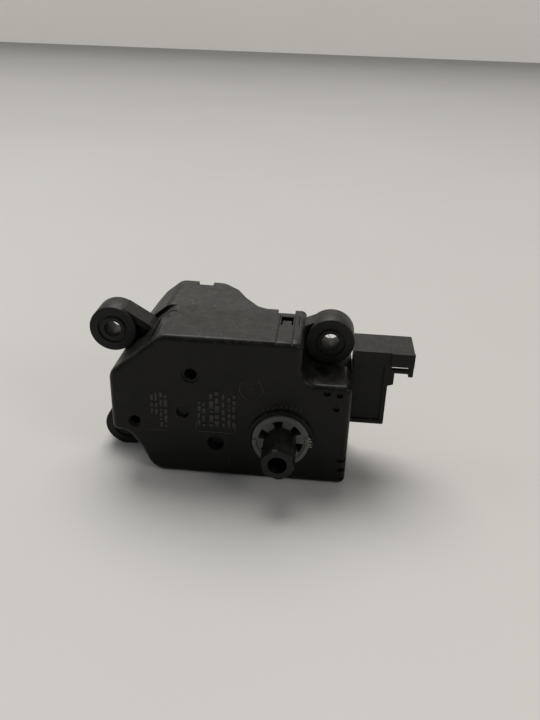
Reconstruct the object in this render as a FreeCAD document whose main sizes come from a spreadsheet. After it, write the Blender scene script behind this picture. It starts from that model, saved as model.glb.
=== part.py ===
import FreeCAD, Part
import os, math
from FreeCAD import Vector as V, Rotation, Placement

# Motorised air-flap actuator.  Millimetres.
# Origin: on the output-shaft axis, in the plane of the cover's front face.
# -Y out of the front face along the output shaft, +Z up, +X towards the connector.

doc = FreeCAD.newDocument("flap_actuator")
sheet = doc.addObject("Spreadsheet::Sheet", "dims")

DIMS = [
    ("case_right", 16.7), ("case_bottom", -12.54), ("case_top", 26.0), ("panel_top", 26.4),
    ("case_left", -43.0), ("shoulder_level", 15.75), ("pocket_wall", 4.3), ("lower_shoulder", -0.5),
    ("lower_pocket_wall", -35.4), ("wall", 1.5), ("face_wall", 1.6), ("skirt_short", 11.4),
    ("skirt_long", 17.6), ("case_depth", 21.1), ("motor_back", 38.8), ("split_left", -34.2), ("split_right", 2.8),
    ("panel_left", -28.4), ("strap_left", -2.1), ("strap_right", 1.5), ("groove", 0.25), ("edge_round", 1.45),
    ("ear_outer", 5.95), ("ear_hole", 2.2), ("ear_front", 11.4), ("ear_length", 7.1),
    ("ear_groove_outer", 3.9), ("ear_groove_inner", 3.15), ("ear_groove_depth", 0.45),
    ("earA_x", 10.7), ("earA_z", 22.2), ("earB_x", -44.65), ("earB_z", 21.85), ("earC_x", -42.5), ("earC_z", -6.6),
    ("collar_outer", 8.3), ("collar_height", 0.8), ("cover_bore", 7.45), ("bearing_bore", 7.22), ("bearing_depth", 2.4),
    ("hub_radius", 7.15), ("hub_proud", 1.0), ("hub_back", 6.4), ("hub_root", 5.6), ("hub_grip", 3.78),
    ("shaft_flats", 7.5), ("shaft_reach", 11.4), ("shaft_hole", 2.3), ("shaft_hole_depth", 6.0), ("shaft_tip", 4.0),
    ("journal", 3.0), ("journal_bore", 3.06), ("journal_end", 19.2),
    ("out_module", 0.6), ("out_teeth", 33), ("pinion_teeth", 10), ("out_front", 2.7), ("out_back", 6.0),
    ("fine_module", 0.5), ("second_teeth", 34), ("wheel_teeth", 16),
    ("second_x", -10.98), ("second_z", 6.88), ("first_x", -16.5), ("first_z", -2.7),
    ("axle_second", 0.9), ("axle_first", 0.75), ("motor_x", -22.4), ("motor_y", 22.6),
    ("motor_radius", 8.6), ("motor_bottom", 4.0), ("motor_top", 22.6), ("cap_top", 23.9), ("can_wall", 0.6),
    ("shaft_radius", 0.75), ("worm_pitch", 1.9), ("worm_outer", 2.32), ("worm_root", 1.32),
    ("board_front", 11.0), ("board_thick", 1.6),
    ("plug_front", 9.5), ("plug_back", 20.0), ("plug_mouth", 25.7), ("plug_low", 0.66), ("plug_top", 21.2),
    ("hood_end", 31.7), ("hood_low", 15.7), ("plug_wall", 1.4), ("pin_pitch", 2.54), ("pin_size", 0.64),
]
for i, (name, value) in enumerate(DIMS):
    sheet.set("A%d" % (i + 1), name)
    sheet.set("B%d" % (i + 1), "%g" % value)
    sheet.setAlias("B%d" % (i + 1), name)
doc.recompute()


def D(name):
    return float(getattr(sheet, name))


NODES = []


# ---------------------------------------------------------------- helpers
def plane(body, role):
    for f in body.Origin.OriginFeatures:
        if f.Role == role:
            return f


def new_body(label):
    b = doc.addObject("PartDesign::Body", "B_" + label)
    b.Label = label
    NODES.append(b)
    return b


def rounded(points):
    """Closed outline from corners (u, v, radius): list of ('L', a, b) and ('A', a, mid, b)."""
    n = len(points)
    segs, starts, ends, mids = [], [], [], []
    for i in range(n):
        p = V(points[i][0], points[i][1], 0)
        a = V(points[i - 1][0], points[i - 1][1], 0)
        c = V(points[(i + 1) % n][0], points[(i + 1) % n][1], 0)
        r = points[i][2]
        if r <= 0:
            starts.append(p); ends.append(p); mids.append(None)
            continue
        u = (a - p).normalize(); w = (c - p).normalize()
        half = u.getAngle(w) / 2
        t = r / math.tan(half)
        s = p + u * t; e = p + w * t
        bis = (u + w).normalize()
        centre = p + bis * (r / math.sin(half))
        m = centre + (p - centre).normalize() * r
        starts.append(s); ends.append(e); mids.append(m)
    for i in range(n):
        if mids[i] is not None:
            segs.append(("A", starts[i], mids[i], ends[i]))
        j = (i + 1) % n
        if (starts[j] - ends[i]).Length > 1e-6:
            segs.append(("L", ends[i], starts[j]))
    return segs


def inset(points, d):
    """Move every side of a counter-clockwise outline inwards by d."""
    n = len(points)
    out = []
    for i in range(n):
        p = V(points[i][0], points[i][1], 0)
        a = V(points[i - 1][0], points[i - 1][1], 0)
        c = V(points[(i + 1) % n][0], points[(i + 1) % n][1], 0)
        d1 = (p - a).normalize(); d2 = (c - p).normalize()
        n1 = V(-d1.y, d1.x, 0); n2 = V(-d2.y, d2.x, 0)
        k = 1 + n1.dot(n2)
        q = p + (n1 + n2) * (d / k)
        cross = d1.x * d2.y - d1.y * d2.x
        r = points[i][2]
        if r > 0:
            r = max(r - d, 0.15) if cross > 0 else r + d
        out.append((q.x, q.y, r))
    return out


def add_segs(sk, segs):
    for s in segs:
        if s[0] == "L":
            sk.addGeometry(Part.LineSegment(s[1], s[2]), False)
        else:
            sk.addGeometry(Part.Arc(s[1], s[2], s[3]), False)


def sketch(body, role, name, offset_expr=None):
    sk = body.newObject("Sketcher::SketchObject", name)
    sk.AttachmentSupport = (plane(body, role), [""])
    sk.MapMode = "FlatFace"
    if offset_expr is not None:
        sk.setExpression("AttachmentOffset.Base.z", offset_expr)
    return sk


def outline_sketch(body, role, name, points, offset_expr=None):
    sk = sketch(body, role, name, offset_expr)
    add_segs(sk, rounded(points))
    return sk


def circle_sketch(body, role, name, circles, offset_expr=None):
    """circles: (u, v, radius expression or number)."""
    sk = sketch(body, role, name, offset_expr)
    for u, v, r in circles:
        rad = D(r) if isinstance(r, str) else r
        g = sk.addGeometry(Part.Circle(V(u, v, 0), V(0, 0, 1), rad), False)
        import Sketcher
        c = sk.addConstraint(Sketcher.Constraint("Radius", g, rad))
        if isinstance(r, str):
            nm = "rad%d" % g
            sk.renameConstraint(c, nm)
            sk.setExpression("Constraints." + nm, "dims." + r)
    return sk


def rect_sketch(body, role, name, rects, offset_expr=None):
    sk = sketch(body, role, name, offset_expr)
    for (u0, v0, u1, v1) in rects:
        add_segs(sk, rounded([(u0, v0, 0), (u1, v0, 0), (u1, v1, 0), (u0, v1, 0)]))
    return sk


def pad(body, sk, length, reverse=False):
    f = body.newObject("PartDesign::Pad", "Pad")
    f.Profile = sk
    if isinstance(length, str):
        f.setExpression("Length", length)
    else:
        f.Length = length
    f.Reversed = reverse
    body.Tip = f
    doc.recompute()
    if "Invalid" in f.State:
        raise RuntimeError("pad of %s in %s failed: %s" % (sk.Name, body.Label, f.getStatusString()))
    return f


def pocket(body, sk, length, reverse=False):
    before = body.Shape.Volume
    f = body.newObject("PartDesign::Pocket", "Pocket")
    f.Profile = sk
    if isinstance(length, str):
        f.setExpression("Length", length)
    else:
        f.Length = length
    f.Reversed = reverse
    body.Tip = f
    doc.recompute()
    if body.Shape.Volume > before - 1e-4:
        raise RuntimeError("pocket %s in %s cut nothing" % (sk.Name, body.Label))
    return f


def fillet(body, name, edges, radius):
    last = body.Tip
    f = body.newObject("PartDesign::Fillet", name)
    f.Base = (last, edges)
    if isinstance(radius, str):
        f.setExpression("Radius", radius)
    else:
        f.Radius = radius
    body.Tip = f
    doc.recompute()
    if "Invalid" in f.State:
        raise RuntimeError("fillet %s in %s failed" % (name, body.Label))
    return f


# On the XZ plane a sketch faces -Y: a pad grows to +Y when reversed, and a
# pocket cuts to +Y when it isn't.
def pad_y(body, sk, length):
    return pad(body, sk, length, True)


def pocket_y(body, sk, length):
    return pocket(body, sk, length, False)


def yoff(expr):
    return "-(%s)" % expr


def feature(label, shape):
    f = doc.addObject("Part::Feature", "F_" + label)
    f.Shape = shape
    f.Label = label
    f.Placement = Placement(V(0, 0, 0), Rotation())
    NODES.append(f)
    return f


def ycyl(x, z, r, y0, y1):
    return Part.makeCylinder(r, y1 - y0, V(x, y0, z), V(0, 1, 0))


def zcyl(x, y, r, z0, z1):
    return Part.makeCylinder(r, z1 - z0, V(x, y, z0), V(0, 0, 1))


def box(x0, y0, z0, x1, y1, z1):
    return Part.makeBox(x1 - x0, y1 - y0, z1 - z0, V(x0, y0, z0))


def prism_y(pts, y0, y1):
    vs = [V(x, y0, z) for x, z in pts]
    return Part.Face(Part.makePolygon(vs + [vs[0]])).extrude(V(0, y1 - y0, 0))


def prism_z(pts, z0, z1):
    vs = [V(x, y, z0) for x, y in pts]
    return Part.Face(Part.makePolygon(vs + [vs[0]])).extrude(V(0, 0, z1 - z0))


def gear_points(module, teeth, cx, cz, phase, thin=0.075, add=0.80, ded=1.10):
    """Involute spur gear outline, pressure angle 25 degrees; a tooth centre lies at angle phase (degrees)."""
    alpha = math.radians(25)
    r = module * teeth / 2.0
    rb = r * math.cos(alpha)
    ra = r + add * module
    rf = r - ded * module
    inv = lambda a: math.tan(a) - a
    half = math.pi / (2 * teeth) - thin / r + inv(alpha)
    flank = []
    lo = max(rb, rf)
    for k in range(6):
        q = lo + (ra - lo) * k / 5.0
        a = math.acos(min(1.0, rb / q))
        flank.append((q, half - inv(a)))
    if rf < rb:
        flank.insert(0, (rf, flank[0][1]))
    pts = []
    for i in range(teeth):
        c = math.radians(phase) + 2 * math.pi * i / teeth
        for q, h in flank:
            pts.append((cx + q * math.cos(c - h), cz + q * math.sin(c - h)))
        for q, h in reversed(flank):
            pts.append((cx + q * math.cos(c + h), cz + q * math.sin(c + h)))
    return pts


# ---------------------------------------------------------------- case outlines
CR, CB, CT, CL = D("case_right"), D("case_bottom"), D("case_top"), D("case_left")
SH, PW, LS, LPW = D("shoulder_level"), D("pocket_wall"), D("lower_shoulder"), D("lower_pocket_wall")
SLOPE = 0.8517            # slope of the sloping top-left side
cham_low = 15.26          # its height at the left side
cham_top_x = CL + (CT - cham_low) / SLOPE
LOW_LEFT = [(CL, LS - 0.5, 1.5), (-39.0, LS - 0.9, 4.0), (LPW - 0.4, -6.0, 6.0)]
OUT = [
    (LPW + 2.5, CB, 5.0), (CR, CB, 1.6), (CR, SH, 1.9), (PW, SH, 4.0), (PW, CT, 1.5),
    (cham_top_x, CT, 4.0), (CL, cham_low, 4.0)] + LOW_LEFT
INNER = inset(OUT, D("wall"))
CP = D("panel_top")
cover_cham_x = CL + (CP - cham_low) / SLOPE
COVER = [
    (LPW + 2.5, CB, 5.0), (CR, CB, 1.6), (CR, SH, 1.9), (PW, SH, 4.0), (PW, CP, 2.0),
    (cover_cham_x, CP, 4.0), (CL, cham_low, 4.0)] + LOW_LEFT
# motor housing, plan view (X, Y), counter-clockwise
BULGE = [(-32.9, 12.0, 0), (-4.9, 12.0, 0), (-4.9, 21.1, 2.0), (-8.3, 22.6, 3.0), (-12.4, 28.4, 4.0),
         (-15.0, 33.6, 4.0), (-19.4, 38.0, 4.0), (-29.6, 38.8, 3.0), (-32.0, 34.2, 3.5), (-32.9, 28.0, 3.0)]
BULGE_IN = inset(BULGE, 1.5)
EARS = [(D("earA_x"), D("earA_z")), (D("earB_x"), D("earB_z")), (D("earC_x"), D("earC_z"))]
MX, MY = D("motor_x"), D("motor_y")
FX, FZ = D("first_x"), D("first_z")
SX, SZ = D("second_x"), D("second_z")

# ---------------------------------------------------------------- front cover
b = new_body("front_cover")
pad_y(b, outline_sketch(b, "XZ_Plane", "CoverOutline", COVER), "dims.skirt_short")
front_edges = []
for i, e in enumerate(b.Shape.Edges):
    bb = e.BoundBox
    if bb.YMax < 1e-6:
        front_edges.append("Edge%d" % (i + 1))
fillet(b, "FrontRound", front_edges, "dims.edge_round")
# long skirt above and below: the case outline between the two splits, carried further back
top_flap = [(D("split_left") + 0.05, 20.0, 0), (D("split_right") - 0.05, 20.0, 0), (D("split_right") - 0.05, CP, 0.6),
            (cover_cham_x, CP, 4.0), (D("split_left") + 0.05, CP - (cover_cham_x - D("split_left") - 0.05) * SLOPE, 0)]
pad_y(b, outline_sketch(b, "XZ_Plane", "TopFlap", top_flap, yoff("dims.skirt_short - 0.2")), "dims.skirt_long - dims.skirt_short + 0.2")
bot_flap = [(-29.0, CB, 0), (D("split_right") - 0.05, CB, 0), (D("split_right") - 0.05, -8.0, 0), (-29.0, -8.0, 0)]
pad_y(b, outline_sketch(b, "XZ_Plane", "BottomFlap", bot_flap, yoff("dims.skirt_short - 0.2")), "dims.skirt_long - dims.skirt_short + 0.2")
# lip that lies on the rear housing's top
pad(b, rect_sketch(b, "XY_Plane", "Lip", [(D("panel_left"), D("skirt_long") - 0.4, -19.5, D("skirt_long") + 1.4)], "dims.case_top + 0.01"), "dims.panel_top - dims.case_top - 0.01")
# the top is a raised panel: lower to its left, and a strap marked off by two grooves
pocket(b, rect_sketch(b, "XY_Plane", "PanelStep", [(-36.0, 1.3, D("panel_left"), D("skirt_long") + 3)], "dims.panel_top + 2"), "dims.panel_top + 2 - dims.case_top - 0.02")
gw = D("groove")
grooves = [(D("strap_left") - gw, -0.5, D("strap_left"), D("skirt_long") + 1), (D("strap_right"), -0.5, D("strap_right") + gw, D("skirt_long") + 1)]
pocket(b, rect_sketch(b, "XY_Plane", "StrapGrooves", grooves, "dims.panel_top + 1"), 1.55)
# hollow it from behind
pocket_y(b, outline_sketch(b, "XZ_Plane", "CoverInside", INNER, yoff("dims.face_wall")), 30)
# collar round the output, bearing ring behind it, bosses behind the recesses
pad(b, circle_sketch(b, "XZ_Plane", "Collar", [(0, 0, "collar_outer")]), "dims.collar_height")
pad_y(b, circle_sketch(b, "XZ_Plane", "BearingRing", [(0, 0, 8.6)], yoff("dims.face_wall - 0.1")), "dims.bearing_depth - dims.face_wall + 0.1")
pad_y(b, circle_sketch(b, "XZ_Plane", "Bosses", [(-22.6, 16.4, 2.7), (-37.0, 2.2, 2.4), (FX, FZ, 3.1)], yoff("dims.face_wall - 0.1")), 2.7)
pad_y(b, circle_sketch(b, "XZ_Plane", "AxleBossB", [(SX, SZ, 1.9)], yoff("dims.face_wall - 0.1")), 0.6)
pocket(b, circle_sketch(b, "XZ_Plane", "CollarBore", [(0, 0, "cover_bore")], yoff("1.2")), 3.0, True)
pocket_y(b, circle_sketch(b, "XZ_Plane", "BearingBore", [(0, 0, "bearing_bore")], yoff("0.8")), 3.0)
# recesses in the front face
pocket_y(b, circle_sketch(b, "XZ_Plane", "RecessDeep", [(-22.6, 16.4, 1.55), (-37.0, 2.2, 1.35)]), 3.4)
pocket_y(b, circle_sketch(b, "XZ_Plane", "RecessRims", [(-22.6, 16.4, 2.2), (-37.0, 2.2, 1.7)]), 0.35)
pocket_y(b, circle_sketch(b, "XZ_Plane", "RecessAxle", [(FX, FZ, 2.15)]), 2.3)
pocket_y(b, circle_sketch(b, "XZ_Plane", "RecessShallow", [(-24.7, 5.8, 1.7)]), 0.95)
pocket_y(b, circle_sketch(b, "XZ_Plane", "RecessSmall", [(10.6, 13.9, 0.9), (13.7, 13.6, 0.85), (13.1, 9.7, 0.85)]), 0.9)
notches = [(14.4, -5.95, 18.0, -4.45), (14.6, -8.6, 18.0, -7.4), (15.1, -11.3, 18.0, -10.4)]
pocket_y(b, rect_sketch(b, "XZ_Plane", "Notches", notches), 0.8)
# blind bores for the two axles
pocket_y(b, circle_sketch(b, "XZ_Plane", "AxleBoreA", [(FX, FZ, D("axle_first") + 0.02)], yoff("3.0")), 5.0)
pocket_y(b, circle_sketch(b, "XZ_Plane", "AxleBoreB", [(SX, SZ, D("axle_second") + 0.02)], yoff("0.8")), 5.0)
# latch windows: one on the top strap, two below
pocket(b, rect_sketch(b, "XY_Plane", "LatchTop", [(-1.9, 10.7, 1.2, 15.7)], "dims.panel_top + 1"), 3.4)
pocket(b, rect_sketch(b, "XY_Plane", "LatchLow", [(-24.0, 11.6, -19.0, 15.4), (-6.0, 11.6, -1.0, 15.4)], "dims.case_bottom - 1"), 3.2, True)
# flexible tongue of the left latch: an L-shaped slot through the top
slot = [(-32.9, 3.6, 0), (-32.3, 3.6, 0), (-32.6, 14.7, 0), (-28.9, 15.8, 0), (-28.9, 16.35, 0), (-33.2, 15.3, 0)]
sk = outline_sketch(b, "XY_Plane", "TongueSlot", slot, "dims.panel_top + 1")
pocket(b, sk, 6.2)
pocket(b, rect_sketch(b, "XY_Plane", "TongueMark", [(-31.6, 12.2, -29.9, 12.6)], "dims.panel_top + 1"), 2.1)
# opening for the connector in the right side
pocket(b, rect_sketch(b, "YZ_Plane", "PlugOpening", [(D("plug_front") + 0.1, 0.8, 30, 14.05)], "dims.case_right + 1"), 3.0)

# ---------------------------------------------------------------- rear housing
b = new_body("rear_housing")
pad_y(b, outline_sketch(b, "XZ_Plane", "HousingOutline", OUT, yoff("dims.skirt_short")), "dims.case_depth - dims.skirt_short")
# the motor's housing: the same outline carried back, then cut to its plan
behind = [(LPW + 2.5, CB, 5.0), (-4.9, CB, 0), (-4.9, CT, 0), (cham_top_x - 1.4, CT, 4.0), (-36.3, 22.3, 5.0), (CL, cham_low - 0.6, 4.0)] + LOW_LEFT
pad_y(b, outline_sketch(b, "XZ_Plane", "MotorHousing", behind, yoff("dims.case_depth - 1")), "dims.motor_back - dims.case_depth + 1")
YB = D("motor_back"); YC = D("case_depth")
plan = [(2.0, YC, 0), (2.0, YB + 4, 0), (-50.0, YB + 4, 0), (-50.0, YC, 0), (-42.0, YC, 0), (-40.8, 29.2, 4.0), (-37.9, YB, 4.0),
        (-19.4, YB - 0.8, 4.0), (-15.0, 33.6, 4.0), (-12.4, 28.4, 4.0), (-8.3, 22.6, 3.0), (-4.9, YC, 0)]
pocket(b, outline_sketch(b, "XY_Plane", "MotorPlan", plan, "dims.case_top + 3"), 60)
back_edges = []
for i, e in enumerate(b.Shape.Edges):
    bb = e.BoundBox
    if bb.YMin > 21.25 and bb.ZMin > CT - 0.01:
        back_edges.append("Edge%d" % (i + 1))
    elif bb.YMin > 27 and bb.ZMin > 15.5 and bb.XMax < -28 and bb.XLength > 0.01 and bb.ZLength > 0.01:
        back_edges.append("Edge%d" % (i + 1))
fillet(b, "BulgeRound", back_edges, 0.6)
# ears and the webs that carry them
webA = [(3.6, 15.0, 0), (11.5, 15.0, 0), (11.5, 20.0, 0), (7.4, 26.9, 0), (3.6, 25.2, 0)]
pad_y(b, outline_sketch(b, "XZ_Plane", "WebA", webA, yoff("dims.ear_front + 1.6")), "dims.ear_length - 1.6")
webC = [(-43.0, 0.4, 0), (-43.0, -4.6, 0), (-41.5, -7.5, 0), (-34.7, -7.5, 0), (-34.7, 0.4, 0)]
pad_y(b, outline_sketch(b, "XZ_Plane", "WebC", webC, yoff("dims.ear_front + 1.2")), "dims.ear_length - 1.2")
webB = [(-45.0, 17.2, 0), (-42.4, 14.4, 0), (-33.9, 21.7, 0), (-36.0, 23.0, 0), (-43.0, 27.0, 0)]
pad_y(b, outline_sketch(b, "XZ_Plane", "WebB", webB, yoff("dims.ear_front + 3.4")), "dims.ear_length - 3.4")
stripB = [(-44.0, 26.5, 0), (-36.2, 21.7, 0), (-34.1, 22.2, 0), (-35.4, 23.3, 0), (-41.8, 27.2, 0)]
pad_y(b, outline_sketch(b, "XZ_Plane", "StripB", stripB, yoff("dims.ear_front + 0.9")), "dims.ear_length - 0.9")
pad_y(b, circle_sketch(b, "XZ_Plane", "Ears", [(x, z, "ear_outer") for x, z in EARS], yoff("dims.ear_front")), "dims.ear_length")
# hollow: case, motor space with two saddle ribs, wheel space
pocket_y(b, outline_sketch(b, "XZ_Plane", "HousingInside", INNER, yoff("dims.skirt_short - 1")), "dims.case_depth - 1.5 - dims.skirt_short + 1")
BI = [(x, y if y > 15 else 15.0, r) for x, y, r in BULGE_IN]
side_space = [(-38.4, 1.3, 0), (-33.0, 1.3, 0), (-33.0, 22.2, 0), (-38.4, 17.0, 0)]
pocket_y(b, outline_sketch(b, "XZ_Plane", "SideSpace", side_space, yoff("19.0")), 12.4)
for nm, z0, z1 in (("a", CB + 1.5, 7.0), ("b", 8.4, 18.6), ("c", 20.0, CT - 1.5)):
    pocket(b, outline_sketch(b, "XY_Plane", "MotorSpace_" + nm, BI, "%g" % z0), z1 - z0, True)
pocket(b, circle_sketch(b, "XY_Plane", "MotorSeat", [(MX, MY, D("motor_radius") + 0.08)], "3.0"), CT - 1.5 - 3.0, True)
pocket(b, rect_sketch(b, "XY_Plane", "MotorWay", [(MX - D("motor_radius") - 0.08, 12.0, MX + D("motor_radius") + 0.08, MY)], "3.0"), CT - 1.5 - 3.0, True)
pad_y(b, circle_sketch(b, "XZ_Plane", "AxleSeatA", [(FX, FZ, 2.0)], yoff("24.4")), 6.6)
# room for the cover's long skirts
pocket_y(b, rect_sketch(b, "XZ_Plane", "SkirtRoom", [(D("split_left"), 15.0, D("split_right"), 30.0), (-29.05, -20, D("split_right"), -6.0)], yoff("0")), "dims.skirt_long")
# ear holes and their ring grooves
pocket_y(b, circle_sketch(b, "XZ_Plane", "EarHoles", [(x, z, "ear_hole") for x, z in EARS], yoff("0")), 40)
for k, (x, z) in enumerate(EARS):
    pocket_y(b, circle_sketch(b, "XZ_Plane", "EarGroove%d" % k, [(x, z, "ear_groove_outer"), (x, z, "ear_groove_inner")], yoff("dims.ear_front")), "dims.ear_groove_depth")
# output-shaft bearing boss and axle seats
pad(b, circle_sketch(b, "XZ_Plane", "RearBoss", [(0, 0, 5.2)], yoff("dims.case_depth - 1.4")), 5.0)
pocket(b, circle_sketch(b, "XZ_Plane", "RearBore", [(0, 0, "journal_bore")], yoff("dims.case_depth - 1.6")), 8.0, True)
pad(b, circle_sketch(b, "XZ_Plane", "AxleSeatB", [(SX, SZ, 2.0)], yoff("dims.case_depth - 1.4")), 5.5)
pocket(b, circle_sketch(b, "XZ_Plane", "AxleBoreB", [(SX, SZ, D("axle_second") + 0.02)], yoff("dims.case_depth - 0.9")), 9.0, True)
pocket(b, circle_sketch(b, "XZ_Plane", "AxleBoreA", [(FX, FZ, D("axle_first") + 0.02)], yoff("26.0")), 3.0, True)
# board posts
pad(b, circle_sketch(b, "XZ_Plane", "BoardPosts", [(9.6, 11.0, 1.6), (-6.2, -6.6, 1.6), (9.6, -6.6, 1.6)], yoff("dims.case_depth - 1.4")), "dims.case_depth - 1.4 - dims.board_front - dims.board_thick")
# cup for the worm's end bearing
pad(b, circle_sketch(b, "XY_Plane", "ThrustCup", [(MX, MY, 3.2)], "dims.case_bottom + 1.4"), 1.9)
pocket(b, circle_sketch(b, "XY_Plane", "ThrustBore", [(MX, MY, 2.0)], "dims.case_bottom + 4"), 2.5)
# latch hooks that stand in the cover's windows
hooks = []
for (x0, x1, zt, za) in ((-1.55, 0.75, 25.85, 24.2),):
    pad_y(b, rect_sketch(b, "XZ_Plane", "HookArmTop", [(x0, za - 1.2, x1, za)], yoff("11.9")), 8.2)
    pad_y(b, rect_sketch(b, "XZ_Plane", "HookTop", [(x0, za - 0.4, x1, zt)], yoff("11.9")), 2.6)
for (x0, x1) in ((-23.5, -19.5), (-5.5, -1.5)):
    pad_y(b, rect_sketch(b, "XZ_Plane", "HookArmLow", [(x0, CB + 1.65, x1, CB + 2.85)], yoff("12.2")), 7.9)
    pad_y(b, rect_sketch(b, "XZ_Plane", "HookLow", [(x0, CB + 0.2, x1, CB + 2.0)], yoff("12.2")), 2.6)
# notches in the back edges of the top
pocket(b, rect_sketch(b, "XY_Plane", "BackNotch", [(-27.0, 35.2, -22.7, 42.0)], "dims.case_top + 1"), 2.1)
pocket(b, rect_sketch(b, "XY_Plane", "StrapNotch", [(-3.1, 18.9, 1.3, 22.0)], "dims.case_top + 1"), 2.0)
# opening for the connector
pocket(b, rect_sketch(b, "YZ_Plane", "PlugOpening", [(0, 0.8, D("case_depth") - 1.5, 14.05)], "dims.case_right + 1"), 3.0)

# ---------------------------------------------------------------- connector housing
PF, PB, PM, PL, PT = D("plug_front"), D("plug_back"), D("plug_mouth"), D("plug_low"), D("plug_top")
HE, HL, PWL = D("hood_end"), D("hood_low"), D("plug_wall")
b = new_body("connector_housing")
side = [(16.85, PL, 0), (PM, PL, 0.4), (PM, 12.0, 0), (27.1, 12.5, 0.3), (27.1, HL, 0), (HE - 1.2, HL, 0), (HE - 1.2, 14.85, 0.25), (HE, 14.85, 0.25), (HE, PT, 0.4), (16.85, PT, 0)]
pad_y(b, outline_sketch(b, "XZ_Plane", "PlugSide", side, yoff("dims.plug_front")), "dims.plug_back - dims.plug_front")
pad_y(b, rect_sketch(b, "XZ_Plane", "HoodFace", [(26.0, 17.65, HE, PT)], yoff("dims.plug_front - 0.45")), 1.0)
pad(b, rect_sketch(b, "YZ_Plane", "Neck", [(PF + 0.2, 0.95, 19.4, 13.9)], "14.9"), 2.2)
pad(b, rect_sketch(b, "YZ_Plane", "Flange", [(9.0, 0.1, 19.45, 14.15)], "13.5"), 1.5)
pocket(b, rect_sketch(b, "YZ_Plane", "Socket", [(PF + PWL, PL + 1.05, PB - PWL, PT - 1.2)], "18.0"), 20, True)
pocket_y(b, rect_sketch(b, "XZ_Plane", "Window", [(26.3, 16.55, HE - 1.2, 17.6)], yoff("0")), 13.0)
pocket_y(b, rect_sketch(b, "XZ_Plane", "FrontRecess", [(16.0, 1.7, 24.6, 17.6)], yoff("dims.plug_front - 1")), 1.5)
pocket(b, rect_sketch(b, "XZ_Plane", "BackRecess", [(16.9, 1.7, 24.6, 17.6)], yoff("dims.plug_back + 1")), 1.5, True)
PINZ = [9.5 + (k - 2.5) * D("pin_pitch") for k in range(6)]
PY = (PF + PB) / 2
s = D("pin_size") / 2
pocket(b, rect_sketch(b, "YZ_Plane", "PinHoles", [(PY - s - 0.01, z - s - 0.01, PY + s + 0.01, z + s + 0.01) for z in PINZ], "12.0"), 8.0, True)

# contact pins: right-angled, from the board to the socket.  The highest one stands
# above the neck, so it ends in the socket's back wall.
shape = []
for k, z in enumerate(PINZ):
    if z > 13.4:
        h = box(17.3, PY - s, z - s, 22.4, PY + s, z + s)
        shape.append(h)
    else:
        h = box(11.4, PY - s, z - s, 22.4, PY + s, z + s)
        v = box(11.4, D("board_front") + D("board_thick"), z - s, 11.4 + 2 * s, PY + s, z + s)
        shape.append(h.fuse(v).removeSplitter())
feature("connector_pins", Part.makeCompound(shape))

# ---------------------------------------------------------------- circuit board
bf = D("board_front"); bt = D("board_thick")
b = new_body("circuit_board")
bo = [(-8.6, -9.4, 1.0), (13.1, -9.4, 1.0), (13.1, 13.6, 1.0), (2.0, 13.6, 1.0), (2.0, 22.6, 1.0), (-8.6, 22.6, 1.0)]
pad_y(b, outline_sketch(b, "XZ_Plane", "Board", bo, yoff("dims.board_front")), "dims.board_thick")
pocket_y(b, circle_sketch(b, "XZ_Plane", "ShaftHole", [(0, 0, 3.9)], yoff("dims.board_front - 1")), 5)
pocket_y(b, circle_sketch(b, "XZ_Plane", "AxleHole", [(SX, SZ, 2.9)], yoff("dims.board_front - 1")), 5)

# resistance track printed round the shaft hole
ring = ycyl(0, 0, 7.0, bf - 0.06, bf).cut(ycyl(0, 0, 5.6, bf - 1, bf + 1)).cut(prism_y([(0, 0), (-3.2, -12), (3.2, -12)], bf - 1, bf + 1))
feature("resistor_track", ring)
# position-control chip
feature("board_chip", box(4.2, bf + bt, 4.6, 8.2, bf + bt + 1.4, 9.6))

# wiper: a spring disc on the shaft with two curved fingers
w = ycyl(0, 0, 5.0, 9.9, 10.15).cut(ycyl(0, 0, D("journal"), 9, 11))
fing = ycyl(0, 0, 6.8, 9.9, 10.15).cut(ycyl(0, 0, 5.8, 9, 11)).common(prism_y([(0, 0), (5.5, 9), (-5.5, 9)], 9, 11))
arm = box(-0.6, 9.9, 4.6, 0.6, 10.15, 6.3)
tip1 = box(-3.2, 9.9, 5.2, -2.4, 10.9, 6.0)
tip2 = box(2.4, 9.9, 5.2, 3.2, 10.9, 6.0)
feature("wiper_spring", w.fuse([fing, arm, tip1, tip2]).removeSplitter())

# ---------------------------------------------------------------- output gear and drive shaft
ANG_SEC = math.degrees(math.atan2(SZ, SX))
ring_gear = prism_y(gear_points(D("out_module"), int(D("out_teeth")), 0, 0, ANG_SEC), D("out_front"), D("out_back"))
hub = ycyl(0, 0, D("hub_radius"), -D("hub_proud"), D("hub_back"))
g = ring_gear.fuse(hub)
# raised arcs on the hub's face
arc = ycyl(0, 0, D("hub_radius"), -D("hub_proud") - 0.35, -D("hub_proud") + 0.1).cut(ycyl(0, 0, 6.1, -3, 3))
for a0, a1 in ((59, 134), (179, 254), (299, 374)):
    m = math.radians((a0 + a1) / 2.0); h = math.radians((a1 - a0) / 2.0)
    k = 12.0
    wedge = prism_y([(0, 0), (k * math.cos(m - h), k * math.sin(m - h)), (k * 1.4 * math.cos(m), k * 1.4 * math.sin(m)), (k * math.cos(m + h), k * math.sin(m + h))], -3, 3)
    g = g.fuse(arc.common(wedge))
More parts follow.
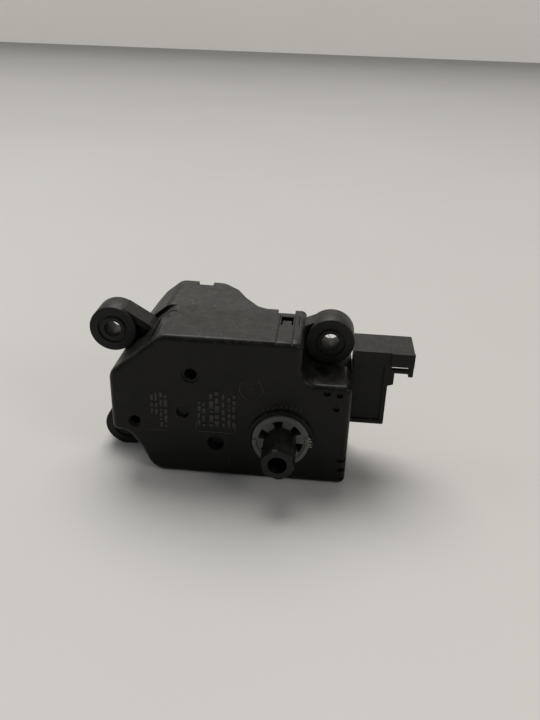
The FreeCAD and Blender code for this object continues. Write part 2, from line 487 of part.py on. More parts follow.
# bore with six gripping teeth
bore = ycyl(0, 0, D("hub_root"), -3, 4.4)
for k in range(6):
    a = math.radians(11 + 60 * k)
    u = V(math.cos(a), 0, math.sin(a)); t = V(-math.sin(a), 0, math.cos(a))
    gr = D("hub_grip")
    p = [u * gr + t * 1.1, u * gr - t * 1.1, u * 7.0 - t * 1.75, u * 7.0 + t * 1.75]
    tooth = Part.Face(Part.makePolygon([q + V(0, -4, 0) for q in p + [p[0]]])).extrude(V(0, 10, 0))
    bore = bore.cut(tooth)
g = g.cut(bore)
g = g.cut(ycyl(0, 0, D("shaft_flats") / 2 / math.cos(math.pi / 6) + 0.02, 4.3, 7))
g = g.removeSplitter()
feature("output_gear", g)

b = new_body("drive_shaft")
hexr = D("shaft_flats") / 2 / math.cos(math.pi / 6)
hexp = []
for k in range(6):
    a = math.radians(41 + 60 * k)
    hexp.append((hexr * math.cos(a), hexr * math.sin(a), 0.25))
sk = outline_sketch(b, "XZ_Plane", "Hexagon", hexp, "dims.shaft_reach")
pad_y(b, sk, "dims.shaft_reach + 6.4")
pad_y(b, circle_sketch(b, "XZ_Plane", "Journal", [(0, 0, "journal")], yoff("6.0")), "dims.journal_end - 6.0")
# turned-down end of the hexagon
sk = circle_sketch(b, "XZ_Plane", "TipRing", [(0, 0, 6.0), (0, 0, "shaft_tip")], "dims.shaft_reach")
pocket_y(b, sk, 0.9)
pocket_y(b, circle_sketch(b, "XZ_Plane", "TipHole", [(0, 0, "shaft_hole")], "dims.shaft_reach"), "dims.shaft_hole_depth")

# ---------------------------------------------------------------- gears
pt = int(D("pinion_teeth"))
bore2 = D("axle_second") + 0.05
pin2 = prism_y(gear_points(D("out_module"), pt, SX, SZ, ANG_SEC + 180 + 180.0 / pt), 2.4, 7.3)
ANG_FIRST = math.degrees(math.atan2(SZ - FZ, SX - FX))
whl2 = prism_y(gear_points(D("fine_module"), int(D("second_teeth")), SX, SZ, ANG_FIRST + 180), 7.2, 9.6)
hub2 = ycyl(SX, SZ, 2.2, 9.5, 10.4)
g2 = pin2.fuse([whl2, hub2]).cut(ycyl(SX, SZ, bore2, 0, 12)).removeSplitter()
feature("second_gear", g2)

bore1 = D("axle_first") + 0.05
pin1 = prism_y(gear_points(D("fine_module"), pt, FX, FZ, ANG_FIRST + 180.0 / pt), 6.6, 10.3)
stemA = ycyl(FX, FZ, 1.5, 4.5, 6.7)
stemB = ycyl(FX, FZ, 1.8, 10.2, MY - 1.0)
wt = int(D("wheel_teeth"))
whl1 = prism_y(gear_points(D("fine_module"), wt, FX, FZ, 180 + 180.0 / wt, thin=0.13), MY - 1.0, MY + 1.0)
hub1 = ycyl(FX, FZ, 1.6, MY + 0.9, 24.1)
g1 = pin1.fuse([stemA, stemB, whl1, hub1]).cut(ycyl(FX, FZ, bore1, 0, 30)).removeSplitter()
feature("first_gear", g1)

# fixed axles
ax = doc.addObject("Part::Cylinder", "AxleA")
ax.Label = "first_gear_axle"
ax.setExpression("Radius", "dims.axle_first")
ax.Height = 25.9 - 3.0
ax.Placement = Placement(V(FX, 3.0, FZ), Rotation(V(1, 0, 0), -90))
ax.setExpression("Placement.Base.x", "dims.first_x")
ax.setExpression("Placement.Base.z", "dims.first_z")
NODES.append(ax)
ax = doc.addObject("Part::Cylinder", "AxleB")
ax.Label = "second_gear_axle"
ax.setExpression("Radius", "dims.axle_second")
ax.Height = 20.2 - 0.8
ax.Placement = Placement(V(SX, 0.8, SZ), Rotation(V(1, 0, 0), -90))
ax.setExpression("Placement.Base.x", "dims.second_x")
ax.setExpression("Placement.Base.z", "dims.second_z")
NODES.append(ax)

# ---------------------------------------------------------------- worm
pitch = math.pi * D("fine_module")
rr, ro = D("worm_root"), D("worm_outer")
z_lo, z_hi = FZ - 5.0, FZ + 4.6
z0 = FZ - 3 * pitch
n_turn = 5.6
core = zcyl(MX, MY, rr, -9.2, 2.2)


hel = Part.makeHelix(pitch, pitch * n_turn, rr, 0)
hel.Placement = Placement(V(MX, MY, z0), Rotation())
# profile at azimuth 0, towards the wheel
pr = [V(MX + rr - 0.12, MY, z0 - 0.42), V(MX + ro, MY, z0 - 0.13), V(MX + ro, MY, z0 + 0.13), V(MX + rr - 0.12, MY, z0 + 0.42)]
prof = Part.Wire(Part.makePolygon(pr + [pr[0]]))
sweep = Part.Wire(hel).makePipeShell([prof], True, True)
worm = core.fuse(sweep)
worm = worm.cut(zcyl(MX, MY, D("shaft_radius"), -20, 20))
feature("worm", worm.removeSplitter())

# ---------------------------------------------------------------- motor
ms = doc.addObject("Part::Cylinder", "MotorShaft")
ms.Label = "motor_shaft"
ms.setExpression("Radius", "dims.shaft_radius")
ms.Height = 23.2 - (-10.7)
ms.Placement = Placement(V(MX, MY, -10.7), Rotation())
ms.setExpression("Placement.Base.x", "dims.motor_x")
ms.setExpression("Placement.Base.y", "dims.motor_y")
NODES.append(ms)

srr = D("shaft_radius")
bear = zcyl(MX, MY, 1.95, CB + 1.5, CB + 3.2).cut(zcyl(MX, MY, srr + 0.04, CB + 1.75, CB + 5))
feature("worm_end_bearing", bear)

mr, mb, mt, ct = D("motor_radius"), D("motor_bottom"), D("motor_top"), D("cap_top")
cw = D("can_wall")
can = zcyl(MX, MY, mr, mb, mt).cut(zcyl(MX, MY, mr - cw, mb + cw, mt + 1)).cut(zcyl(MX, MY, 1.9, mb - 1, mb + 2))
can = can.makeFillet(0.9, [e for e in can.Edges if abs(e.BoundBox.ZMin - mb) < 1e-6 and e.BoundBox.ZLength < 1e-6 and abs(e.BoundBox.XLength - 2 * mr) < 0.01])
feature("motor_can", can)
feature("motor_bushing", zcyl(MX, MY, 1.9, mb - 0.6, mb + 1.6).cut(zcyl(MX, MY, srr + 0.03, 0, 30)))
cap = zcyl(MX, MY, mr, mt, ct).fuse(zcyl(MX, MY, mr - cw - 0.02, mt - 1.2, mt + 0.1)).cut(zcyl(MX, MY, mr - cw - 1.6, mt - 2, mt + 0.0)).cut(zcyl(MX, MY, srr + 0.04, mt - 3, 23.4))
feature("motor_end_cap", cap.removeSplitter())
mag = zcyl(MX, MY, mr - cw, 7.0, 19.0).cut(zcyl(MX, MY, mr - cw - 1.5, 6, 20))
halfw = box(MX - 20, MY - 2.4, 0, MX + 20, MY + 2.4, 30)
feature("motor_magnets", Part.makeCompound([s_ for s_ in mag.cut(halfw).Solids]))

# three-pole armature: laminated core, coils, commutator
rc = mr - cw - 1.5 - 0.35
core_a = zcyl(MX, MY, 2.1, 8.4, 17.6)
parts_c = [core_a]
coils = []
for k in range(3):
    a = 90 + 120 * k
    arm_ = box(0, -0.9, 8.4, rc - 0.8, 0.9, 17.6)
    arm_.Placement = Placement(V(MX, MY, 0), Rotation(V(0, 0, 1), a))
    shoe = Part.makeCylinder(rc, 9.2, V(0, 0, 8.4), V(0, 0, 1), 96).cut(Part.makeCylinder(rc - 0.9, 12, V(0, 0, 7), V(0, 0, 1)))
    shoe.Placement = Placement(V(MX, MY, 0), Rotation(V(0, 0, 1), a - 48))
    parts_c += [arm_, shoe]
    ring_o = box(2.5, -2.05, 7.5, rc - 1.0, 2.05, 18.5).cut(box(0, -0.92, 8.35, 20, 0.92, 17.65))
    ring_o.Placement = Placement(V(MX, MY, 0), Rotation(V(0, 0, 1), a))
    coils.append(ring_o)
ca = parts_c[0].fuse(parts_c[1:]).cut(zcyl(MX, MY, srr, 0, 30)).removeSplitter()
feature("armature_core", ca)
cc = []
for c in coils:
    c2 = c.common(zcyl(MX, MY, rc - 1.0, 7, 19)).cut(ca)
    cc += [s_ for s_ in c2.Solids if s_.Volume > 0.5]
feature("armature_windings", Part.makeCompound(cc))
feature("commutator", zcyl(MX, MY, 1.9, 18.9, 21.9).cut(zcyl(MX, MY, srr, 0, 30)))
br = []
for sgn in (-1, 1):
    x0, x1 = sorted((MX + sgn * 1.95, MX + sgn * 3.9))
    br.append(box(x0, MY - 0.8, 20.2, x1, MY + 0.8, 21.4))
feature("motor_brushes", Part.makeCompound(br))
tm = []
for yy in (-6.5, -4.3):
    tm.append(box(MX + 3.0, MY + yy - 0.9, ct, MX + 3.3, MY + yy + 0.9, ct + 0.5))
feature("motor_terminals", Part.makeCompound(tm))
ctc = []
for k, yy in enumerate((-6.5, -4.3)):
    xs = MX + 3.3
    a_ = box(xs, MY + yy - 0.6, ct + 0.05, -6.0 + k * 2.4, MY + yy + 0.6, ct + 0.35)
    e_ = -6.0 + k * 2.4
    l_ = box(e_ - 0.3, bf + bt, ct - 2.4, e_, MY + yy + 0.6, ct + 0.35)
    ctc.append(a_.fuse(l_).removeSplitter())
feature("motor_contacts", Part.makeCompound(ctc))

# ---------------------------------------------------------------- check and write
doc.recompute()
bad = []
for o in doc.Objects:
    st = [str(s_) for s_ in o.State]
    if any(("Invalid" in s_) or ("Error" in s_) for s_ in st):
        bad.append((o.Name, o.Label, st))
for o in NODES:
    sh = o.Shape
    if sh.isNull() or not sh.isValid() or len(sh.Solids) == 0:
        bad.append((o.Label, "null or invalid shape"))
if bad:
    raise RuntimeError("failed objects: %r" % bad)
os.makedirs("parts", exist_ok=True)
for o in NODES:
    o.Shape.exportStep("parts/%s.step" % o.Label)
    bb = o.Shape.BoundBox
    print("%-20s solids %d vol %9.2f  X %.2f..%.2f Y %.2f..%.2f Z %.2f..%.2f" % (o.Label, len(o.Shape.Solids), o.Shape.Volume, bb.XMin, bb.XMax, bb.YMin, bb.YMax, bb.ZMin, bb.ZMax))
print("nodes", len(NODES))
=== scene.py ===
import bpy, bmesh, math, random
from mathutils import Matrix, Vector


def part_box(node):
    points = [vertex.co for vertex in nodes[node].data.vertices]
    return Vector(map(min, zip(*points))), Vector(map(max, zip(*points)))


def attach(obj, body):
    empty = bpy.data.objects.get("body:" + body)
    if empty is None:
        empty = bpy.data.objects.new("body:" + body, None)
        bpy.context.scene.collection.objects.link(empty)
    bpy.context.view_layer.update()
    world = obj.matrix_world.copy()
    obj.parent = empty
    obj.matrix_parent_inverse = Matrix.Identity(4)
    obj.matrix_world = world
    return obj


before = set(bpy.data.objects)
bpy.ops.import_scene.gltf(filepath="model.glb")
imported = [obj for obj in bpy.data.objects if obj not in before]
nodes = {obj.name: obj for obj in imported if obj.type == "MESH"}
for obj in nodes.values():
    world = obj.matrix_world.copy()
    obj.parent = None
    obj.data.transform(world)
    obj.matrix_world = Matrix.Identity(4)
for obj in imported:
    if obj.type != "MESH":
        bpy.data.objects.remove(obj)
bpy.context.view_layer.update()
MM = 0.001
rnd = random.Random(20417)
scene = bpy.context.scene

# ------------------------------------------------------------------ camera
YAW, PITCH, ROLL = math.radians(-4.27), math.radians(27.1), math.radians(-1.98)
fwd = Vector((math.sin(YAW) * math.cos(PITCH), math.cos(YAW) * math.cos(PITCH), -math.sin(PITCH)))
right = Vector((math.cos(YAW), -math.sin(YAW), 0.0))
down = fwd.cross(right)
cr, sr = math.cos(ROLL), math.sin(ROLL)
cam_x = right * cr + down * sr
cam_y = -(right * -sr + down * cr)
cam_data = bpy.data.cameras.new("camera")
cam = bpy.data.objects.new("camera", cam_data)
scene.collection.objects.link(cam)
m3 = Matrix((cam_x, cam_y, -fwd)).transposed()
cam.matrix_world = Matrix.Translation(Vector((7.56, -146.63, 97.17)) * MM) @ m3.to_4x4()
cam_data.sensor_width = 36.0
cam_data.lens = 35.0
cam_data.clip_start = 0.005
cam_data.clip_end = 20.0
scene.camera = cam

# ------------------------------------------------------------------ materials


class Nodes:
    """Small helper round one material's node tree."""

    def __init__(self, name):
        self.mat = bpy.data.materials.new(name)
        self.mat.use_nodes = True
        self.t = self.mat.node_tree
        self.t.nodes.clear()
        self.out = self.t.nodes.new("ShaderNodeOutputMaterial")
        self.bsdf = self.t.nodes.new("ShaderNodeBsdfPrincipled")
        self.t.links.new(self.bsdf.outputs[0], self.out.inputs[0])
        self.co = self.t.nodes.new("ShaderNodeTexCoord").outputs["Object"]

    def link(self, a, b):
        self.t.links.new(a, b)

    def noise(self, scale, detail=3.0, rough=0.55, distortion=0.0, vec=None):
        n = self.t.nodes.new("ShaderNodeTexNoise")
        n.inputs["Scale"].default_value = scale
        n.inputs["Detail"].default_value = detail
        n.inputs["Roughness"].default_value = rough
        n.inputs["Distortion"].default_value = distortion
        self.link(vec or self.co, n.inputs["Vector"])
        return n.outputs["Fac"]

    def voronoi(self, scale, feature="F1", vec=None):
        n = self.t.nodes.new("ShaderNodeTexVoronoi")
        n.feature = feature
        n.inputs["Scale"].default_value = scale
        self.link(vec or self.co, n.inputs["Vector"])
        return n.outputs["Distance"]

    def stretch(self, scale):
        n = self.t.nodes.new("ShaderNodeMapping")
        n.inputs["Scale"].default_value = scale
        self.link(self.co, n.inputs["Vector"])
        return n.outputs[0]

    def remap(self, value, a, b, c, d):
        n = self.t.nodes.new("ShaderNodeMapRange")
        n.inputs["From Min"].default_value = a
        n.inputs["From Max"].default_value = b
        n.inputs["To Min"].default_value = c
        n.inputs["To Max"].default_value = d
        self.link(value, n.inputs["Value"])
        return n.outputs[0]

    def math(self, op, a, b):
        n = self.t.nodes.new("ShaderNodeMath")
        n.operation = op
        for i, v in enumerate((a, b)):
            if isinstance(v, (int, float)):
                n.inputs[i].default_value = v
            else:
                self.link(v, n.inputs[i])
        return n.outputs[0]

    def mix(self, fac, a, b):
        n = self.t.nodes.new("ShaderNodeMix")
        n.data_type = "RGBA"
        self.link(fac, n.inputs[0])
        for v, k in ((a, 6), (b, 7)):
            if isinstance(v, tuple):
                n.inputs[k].default_value = (*v, 1.0)
            else:
                self.link(v, n.inputs[k])
        return n.outputs[2]

    def normal_z(self):
        g = self.t.nodes.new("ShaderNodeNewGeometry")
        s = self.t.nodes.new("ShaderNodeSeparateXYZ")
        self.link(g.outputs["Normal"], s.inputs[0])
        return s.outputs[2]

    def bump(self, height, strength, distance, below=None):
        n = self.t.nodes.new("ShaderNodeBump")
        n.inputs["Strength"].default_value = strength
        n.inputs["Distance"].default_value = distance
        self.link(height, n.inputs["Height"])
        if below is not None:
            self.link(below, n.inputs["Normal"])
        return n.outputs[0]

    def set(self, **kw):
        for k, v in kw.items():
            self.bsdf.inputs[k.replace("_", " ")].default_value = v


def moulded(name, dark, light, dust, rough, grain=9000.0, grain_amount=0.35, spec=0.5, dust_amount=1.0, scratch=1.0):
    """Moulded plastic: spark-eroded grain, patches of handling shine, fine scratches, settled dust."""
    n = Nodes(name)
    cloud = n.noise(130.0, 4.0, 0.6)
    base = n.mix(n.remap(cloud, 0.35, 0.70, 0.0, 1.0), dark, light)
    # dust: specks everywhere, thicker on what faces up
    speck = n.remap(n.noise(2100.0, 2.0, 0.5), 0.69, 0.76, 0.0, 1.0)
    film = n.remap(n.noise(420.0, 5.0, 0.7), 0.42, 0.75, 0.0, 0.10)
    up = n.remap(n.normal_z(), 0.1, 0.95, 0.10, 1.0)
    settled = n.math("MULTIPLY", n.math("MAXIMUM", speck, film), n.math("MULTIPLY", up, dust_amount))
    n.link(n.mix(settled, base, dust), n.bsdf.inputs["Base Color"])
    # shine and wear
    shine = n.remap(n.noise(75.0, 5.0, 0.65), 0.3, 0.75, rough - 0.07, rough + 0.10)
    n.link(n.math("ADD", shine, n.math("MULTIPLY", settled, 0.25)), n.bsdf.inputs["Roughness"])
    n.set(Specular_IOR_Level=spec, IOR=1.5)
    # relief: grain, soft waviness of the moulding, long fine scratches
    g1 = n.bump(n.noise(grain, 3.0, 0.6), grain_amount, 0.00004)
    g2 = n.bump(n.noise(160.0, 2.0, 0.5), 0.22, 0.0003, g1)
    if scratch > 0:
        sc = n.remap(n.noise(420.0, 1.0, 0.5, 0.6, n.stretch((0.25, 1.0, 3.2))), 0.50, 0.515, 0.0, 1.0)
        sc2 = n.remap(n.noise(420.0, 1.0, 0.5, 0.6, n.stretch((0.25, 1.0, 3.2))), 0.515, 0.53, 1.0, 0.0)
        line = n.math("MULTIPLY", n.math("MINIMUM", sc, sc2), n.remap(n.noise(210.0, 2.0, 0.5), 0.55, 0.62, 0.0, 1.0))
        g2 = n.bump(line, 0.18 * scratch, 0.00003, g2)
    n.link(g2, n.bsdf.inputs["Normal"])
    return n.mat


def metal(name, a, b, rough, stretch=(1.0, 1.0, 1.0), scale=1500.0, spots=None):
    n = Nodes(name)
    tone = n.noise(scale, 4.0, 0.6, 0.0, n.stretch(stretch))
    col = n.mix(n.remap(tone, 0.3, 0.7, 0.0, 1.0), a, b)
    if spots is not None:
        col = n.mix(n.remap(n.noise(380.0, 5.0, 0.7), 0.58, 0.72, 0.0, 0.8), col, spots)
    n.link(col, n.bsdf.inputs["Base Color"])
    n.set(Metallic=1.0)
    n.link(n.remap(n.noise(scale * 0.6, 3.0), 0.3, 0.7, rough - 0.06, rough + 0.10), n.bsdf.inputs["Roughness"])
    n.link(n.bump(tone, 0.25, 0.00002), n.bsdf.inputs["Normal"])
    return n.mat


DUST = (0.30, 0.28, 0.23)
mat_case = moulded("case_plastic", (0.0026, 0.0025, 0.0018), (0.0054, 0.0052, 0.0040), DUST, 0.36, spec=0.20)
mat_rear = moulded("rear_plastic", (0.0050, 0.0050, 0.0042), (0.0090, 0.0090, 0.0074), DUST, 0.46, dust_amount=1.15, spec=0.24)
mat_plug = moulded("plug_plastic", (0.0036, 0.0035, 0.0028), (0.0066, 0.0064, 0.0052), DUST, 0.46, spec=0.22, dust_amount=0.7, scratch=0.5)
mat_shaft = moulded("shaft_plastic", (0.0028, 0.0030, 0.0026), (0.0054, 0.0056, 0.0048), DUST, 0.32, spec=0.25, grain_amount=0.18, dust_amount=0.6)
mat_grey = moulded("hub_plastic", (0.082, 0.090, 0.078), (0.115, 0.124, 0.108), (0.26, 0.24, 0.20), 0.42, grain_amount=0.22, dust_amount=0.9)
mat_flash = moulded("flash_plastic", (0.26, 0.25, 0.21), (0.36, 0.35, 0.29), (0.45, 0.42, 0.34), 0.5, grain_amount=0.1, dust_amount=0.3, scratch=0.0)
mat_white = moulded("gear_plastic", (0.70, 0.69, 0.63), (0.80, 0.79, 0.74), (0.55, 0.50, 0.40), 0.36, grain_amount=0.12, dust_amount=0.4, scratch=0.3)
# raised marks: the glossier finish is real, but the base colour, lighter than the plastic they are moulded on, is a
# painted highlight on the raised marks
mat_mark_painted_highlight = moulded("mark_plastic_painted_highlight", (0.0060, 0.0060, 0.0050), (0.0105, 0.0100, 0.0085), DUST, 0.26, grain_amount=0.15, dust_amount=0.9, scratch=0.0, spec=0.45)
mat_board = moulded("board_mask", (0.020, 0.085, 0.035), (0.028, 0.120, 0.050), (0.30, 0.28, 0.22), 0.28, grain=4200.0, grain_amount=0.10, dust_amount=0.3, scratch=0.3)
mat_ink = moulded("carbon_ink", (0.010, 0.010, 0.010), (0.020, 0.020, 0.020), DUST, 0.55, dust_amount=0.1, scratch=0.0)
mat_chip = moulded("chip_resin", (0.012, 0.012, 0.012), (0.022, 0.022, 0.022), DUST, 0.50, dust_amount=0.2, scratch=0.0)
mat_steel = metal("steel", (0.50, 0.50, 0.49), (0.62, 0.61, 0.60), 0.22, (1.0, 1.0, 0.15))
mat_can = metal("plated_can", (0.56, 0.56, 0.53), (0.68, 0.67, 0.63), 0.30, (1.0, 1.0, 0.4), 900.0, (0.42, 0.40, 0.34))
mat_core = metal("core_steel", (0.25, 0.25, 0.26), (0.36, 0.36, 0.37), 0.42, (0.2, 0.2, 3.0))
mat_tin = metal("tinned_contact", (0.62, 0.61, 0.57), (0.76, 0.74, 0.69), 0.24, (0.3, 1.0, 1.0))
mat_bronze = metal("sintered_bronze", (0.36, 0.24, 0.11), (0.50, 0.34, 0.17), 0.50, (1, 1, 1), 4000.0)
mat_copper = metal("copper_wire", (0.50, 0.17, 0.06), (0.66, 0.27, 0.11), 0.30, (0.3, 0.3, 3.5), 2600.0)
mat_bar = metal("copper_bar", (0.66, 0.34, 0.19), (0.78, 0.44, 0.27), 0.25, (1, 1, 0.3))
mat_spring = metal("spring_bronze", (0.62, 0.44, 0.20), (0.76, 0.56, 0.28), 0.26, (0.3, 1, 1))
mat_ferrite = moulded("ferrite", (0.030, 0.030, 0.033), (0.055, 0.055, 0.060), DUST, 0.62, dust_amount=0.2, scratch=0.0)
mat_carbon = moulded("carbon_brush", (0.020, 0.020, 0.020), (0.045, 0.045, 0.045), DUST, 0.60, dust_amount=0.1, scratch=0.0)

LOOK = {
    "front_cover": mat_case, "rear_housing": mat_rear, "connector_housing": mat_plug, "drive_shaft": mat_shaft,
    "output_gear": mat_grey, "second_gear": mat_white, "first_gear": mat_white, "worm": mat_white, "motor_end_cap": mat_white,
    "circuit_board": mat_board, "resistor_track": mat_ink, "board_chip": mat_chip, "connector_pins": mat_tin,
    "motor_terminals": mat_tin, "motor_contacts": mat_tin, "motor_can": mat_can, "motor_shaft": mat_steel,
    "first_gear_axle": mat_steel, "second_gear_axle": mat_steel, "worm_end_bearing": mat_bronze, "motor_bushing": mat_bronze,
    "motor_magnets": mat_ferrite, "armature_core": mat_core, "armature_windings": mat_copper, "commutator": mat_bar,
    "motor_brushes": mat_carbon, "wiper_spring": mat_spring,
}
BEVEL = {"front_cover": 0.16, "rear_housing": 0.18, "connector_housing": 0.13, "output_gear": 0.07, "drive_shaft": 0.10,
         "second_gear": 0.04, "first_gear": 0.04, "motor_can": 0.12, "motor_end_cap": 0.10, "circuit_board": 0.08, "connector_pins": 0.08}


def soften(obj, width_mm, segments=2, angle=32.0):
    """Weld the facets' shared corners and round the sharp edges by a small real radius."""
    w = obj.modifiers.new("weld", "WELD")
    w.merge_threshold = 2e-6
    b = obj.modifiers.new("edge_radius", "BEVEL")
    b.width = width_mm * MM
    b.segments = segments
    b.limit_method = "ANGLE"
    b.angle_limit = math.radians(angle)
    b.use_clamp_overlap = True
    b.harden_normals = False
    b.miter_outer = "MITER_ARC"


for name, obj in nodes.items():
    mat = LOOK.get(name)
    if mat is None:
        continue
    if not obj.material_slots:
        obj.data.materials.append(mat)
    for s in obj.material_slots:
        s.material = mat
    if name in BEVEL:
        soften(obj, BEVEL[name])

# ------------------------------------------------------------------ piece helpers


def make(name, bm, mat, body, smooth=True):
    me = bpy.data.meshes.new(name)
    bmesh.ops.recalc_face_normals(bm, faces=bm.faces[:])
    bm.to_mesh(me)
    bm.free()
    for p in me.polygons:
        p.use_smooth = smooth
    me.materials.append(mat)
    o = bpy.data.objects.new(name, me)
    scene.collection.objects.link(o)
    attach(o, body)
    return o


def add_box(bm, x0, y0, z0, x1, y1, z1, bevel=0.0, rot=0.0):
    r = bmesh.ops.create_cube(bm, size=1.0)
    vs = r["verts"]
    c = Vector(((x0 + x1) / 2, (y0 + y1) / 2, (z0 + z1) / 2)) * MM
    for v in vs:
        v.co = Vector((v.co.x * (x1 - x0), v.co.y * (y1 - y0), v.co.z * (z1 - z0))) * MM
        if rot:
            v.co = Matrix.Rotation(rot, 3, "Y") @ v.co
        v.co += c
    if bevel > 0:
        es = list({e for v in vs for e in v.link_edges})
        bmesh.ops.bevel(bm, geom=es, offset=bevel * MM, segments=2, profile=0.5, affect="EDGES")


def add_ring(bm, x, z, r, y, wire, a0=0.0, a1=360.0, seg=72, sides=8, flat=1.0):
    """A round-sectioned ring in the XZ plane, or an arc of one with closed ends."""
    full = abs((a1 - a0) - 360.0) < 1e-6
    n = seg if full else max(3, int(seg * (a1 - a0) / 360.0)) + 1
    loops = []
    for i in range(n):
        a = math.radians(a0 + (a1 - a0) * i / (n if full else n - 1))
        loop = []
        for k in range(sides):
            b = 2 * math.pi * k / sides
            rr = r + wire * math.cos(b)
            loop.append(bm.verts.new(Vector((x + rr * math.cos(a), y + wire * flat * math.sin(b), z + rr * math.sin(a))) * MM))
        loops.append(loop)
    for i in range(n if full else n - 1):
        p, q = loops[i], loops[(i + 1) % n]
        for k in range(sides):
            bm.faces.new((p[k], p[(k + 1) % sides], q[(k + 1) % sides], q[k]))
    if not full:
        bm.faces.new(loops[0])
        bm.faces.new(list(reversed(loops[-1])))


# ------------------------------------------------------------------ relief on the front face
# Two blocks of plain raised bars, run up the face in columns, where the original carries printing.
def bar_columns(bm, columns, z0, z1, width, high, gap):
    for x in columns:
        z = z0 + 0.5 * rnd.random()
        while z < z1 - 0.7:
            l = min(0.55 + 1.9 * rnd.random(), z1 - z)
            w = width * (0.75 + 0.45 * rnd.random())
            add_box(bm, x, -high, z, x + w, 0.06, z + l, 0.03)
            z += l + gap * (0.8 + 0.9 * rnd.random())


bm = bmesh.new()
bar_columns(bm, (-32.7, -31.6), 4.4, 11.4, 0.62, 0.12, 0.38)
bar_columns(bm, (-30.4, -29.3), 0.6, 11.0, 0.66, 0.12, 0.42)
add_box(bm, -33.2, -0.10, 0.0, -28.6, 0.06, 0.26, 0.03)
make("relief_bars_left", bm, mat_mark_painted_highlight, "case")

bm = bmesh.new()
bar_columns(bm, (-20.9, -19.7), 1.8, 9.2, 0.70, 0.12, 0.42)
bar_columns(bm, (-18.0, -16.6), 1.8, 12.4, 0.92, 0.13, 0.45)
bar_columns(bm, (-14.8, -13.4, -12.2), 1.8, 11.6, 0.70, 0.12, 0.42)
# line below the block and its two short uprights
for (x0, z0, x1, z1) in ((-21.4, 0.45, -11.3, 0.72), (-21.4, 0.45, -21.14, 3.4), (-11.56, 0.45, -11.3, 3.4)):
    add_box(bm, x0, -0.10, z0, x1, 0.06, z1, 0.03)
make("relief_bars_middle", bm, mat_mark_painted_highlight, "case")

# gate ring and its centre pip, witness rings of the ejector pins
bm = bmesh.new()
add_ring(bm, -7.7, 13.6, 2.85, 0.0, 0.12)
add_ring(bm, -7.7, 13.6, 0.45, 0.0, 0.10, seg=24)
add_ring(bm, -24.7, 5.8, 2.15, 0.0, 0.07, 120, 300)
add_ring(bm, -39.9, 8.2, 1.1, 0.0, 0.06, seg=36)
add_ring(bm, 6.0, -10.0, 1.1, 0.0, 0.05, seg=36)
make("mould_rings_front", bm, mat_mark_painted_highlight, "case")

# position marks round the collar
bm = bmesh.new()
for k in range(9):
    a = math.radians(62 + 7.2 * k)
    r0, r1 = 8.95, 9.75 + (0.5 if k % 4 == 0 else 0.0)
    c = ((r0 + r1) / 2 * math.cos(a), (r0 + r1) / 2 * math.sin(a))
    add_box(bm, c[0] - (r1 - r0) / 2, -0.06, c[1] - 0.11, c[0] + (r1 - r0) / 2, 0.06, c[1] + 0.11, 0.03, rot=-a)
make("collar_marks", bm, mat_mark_painted_highlight, "case")

# short rib below the middle of the face
bm = bmesh.new()
add_box(bm, -13.1, -0.10, -9.6, -12.8, 0.06, -7.2, 0.04)
make("face_rib", bm, mat_mark_painted_highlight, "case")

# moulding flash and plastic threads at the hub's rim
bm = bmesh.new()
for k in range(7):
    a = math.radians(-9 + 4.0 * k + 2.5 * rnd.random())
    l = 0.5 + 0.9 * rnd.random()
    r0 = 6.6 + 0.25 * rnd.random()
    h = -1.38 - 0.05 * (k % 4)
    c, w = r0 + l / 2, 0.06 + 0.04 * rnd.random()
    x, z = c * math.cos(a), c * math.sin(a)
    add_box(bm, x - l / 2, h - w, z - w, x + l / 2, h + w, z + w, 0.02, rot=-a + rnd.uniform(-0.45, 0.45))
make("hub_flash", bm, mat_flash, "output")

# ejector-pin witness rings and a moulded date dial on the back, gate mark under the motor
YBK = 21.1
bm = bmesh.new()
for (x, z, r) in ((11.5, 20.0, 1.3), (11.8, -9.0, 1.3), (-0.5, 16.5, 1.3), (-1.0, -9.8, 1.1)):
    add_ring(bm, x, z, r, YBK, 0.07, seg=40)
add_ring(bm, 9.4, 8.4, 2.3, YBK, 0.10, seg=48)
for k in range(12):
    a = math.radians(30 * k)
    add_box(bm, 9.4 + 1.75 * math.cos(a) - 0.22, YBK - 0.05, 8.4 + 1.75 * math.sin(a) - 0.06, 9.4 + 1.75 * math.cos(a) + 0.22, YBK + 0.10, 8.4 + 1.75 * math.sin(a) + 0.06, 0.02, rot=-a)
add_box(bm, 9.1, YBK - 0.05, 7.3, 9.7, YBK + 0.12, 9.4, 0.03)
make("mould_rings_back", bm, mat_mark_painted_highlight, "case")

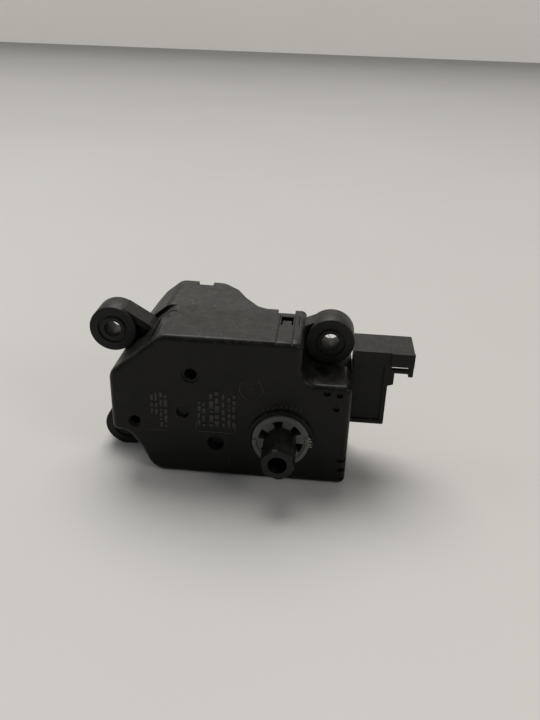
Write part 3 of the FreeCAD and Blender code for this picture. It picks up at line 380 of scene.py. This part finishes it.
# ------------------------------------------------------------------ floor, light
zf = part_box("front_cover")[0][2]
me = bpy.data.meshes.new("floor")
s = 6.0
me.from_pydata([(-s, -s, zf), (s, -s, zf), (s, s, zf), (-s, s, zf)], [], [(0, 1, 2, 3)])
floor = bpy.data.objects.new("floor", me)
scene.collection.objects.link(floor)
fm = Nodes("floor_paint")
fm.link(fm.mix(fm.remap(fm.noise(3.0, 3.0), 0.3, 0.7, 0.0, 1.0), (0.62, 0.60, 0.57), (0.66, 0.64, 0.61)), fm.bsdf.inputs["Base Color"])
fm.set(Roughness=0.75, Specular_IOR_Level=0.25)
me.materials.append(fm.mat)

me = bpy.data.meshes.new("backdrop")
me.from_pydata([(-s, 1.7, zf), (s, 1.7, zf), (s, 1.9, zf + 1.4), (-s, 1.9, zf + 1.4)], [], [(0, 1, 2, 3)])
back = bpy.data.objects.new("backdrop", me)
scene.collection.objects.link(back)
bk = Nodes("backdrop_cloth")
bk.link(bk.mix(bk.remap(bk.noise(2.0, 3.0), 0.3, 0.7, 0.0, 1.0), (0.60, 0.58, 0.54), (0.66, 0.64, 0.60)), bk.bsdf.inputs["Base Color"])
bk.bsdf.inputs["Emission Color"].default_value = (0.60, 0.58, 0.53, 1.0)
bk.set(Roughness=0.8, Specular_IOR_Level=0.1, Emission_Strength=0.55)
me.materials.append(bk.mat)

world = bpy.data.worlds.new("studio")
scene.world = world
world.use_nodes = True
bg = world.node_tree.nodes.get("Background") or world.node_tree.nodes.new("ShaderNodeBackground")
bg.inputs[0].default_value = (0.86, 0.90, 0.96, 1.0)
bg.inputs[1].default_value = 0.16


def area(name, loc, target, size, energy, colour):
    d = bpy.data.lights.new(name, "AREA")
    d.shape = "RECTANGLE"
    d.size, d.size_y = size
    d.energy = energy
    d.color = colour
    o = bpy.data.objects.new(name, d)
    scene.collection.objects.link(o)
    o.location = loc
    o.rotation_euler = (Vector(target) - Vector(loc)).to_track_quat("-Z", "Y").to_euler()
    return o


area("left_soft", (-0.45, 0.10, 0.40), (-0.01, 0.0, 0.0), (0.3, 0.3), 0.5, (0.97, 0.99, 1.0))
area("right_front", (0.42, -0.28, 0.34), (0.005, 0.0, 0.0), (0.22, 0.22), 0.55, (1.0, 0.98, 0.94))
sun = bpy.data.lights.new("sky_panel", "SUN")
sun.energy = 2.2
sun.angle = math.radians(42.0)
sun.color = (1.0, 0.985, 0.955)
so = bpy.data.objects.new("sky_panel", sun)
scene.collection.objects.link(so)
so.rotation_euler = Vector((0.12, -0.50, -0.86)).to_track_quat("-Z", "Y").to_euler()
scene.view_settings.view_transform = "Standard"
scene.view_settings.look = "None"
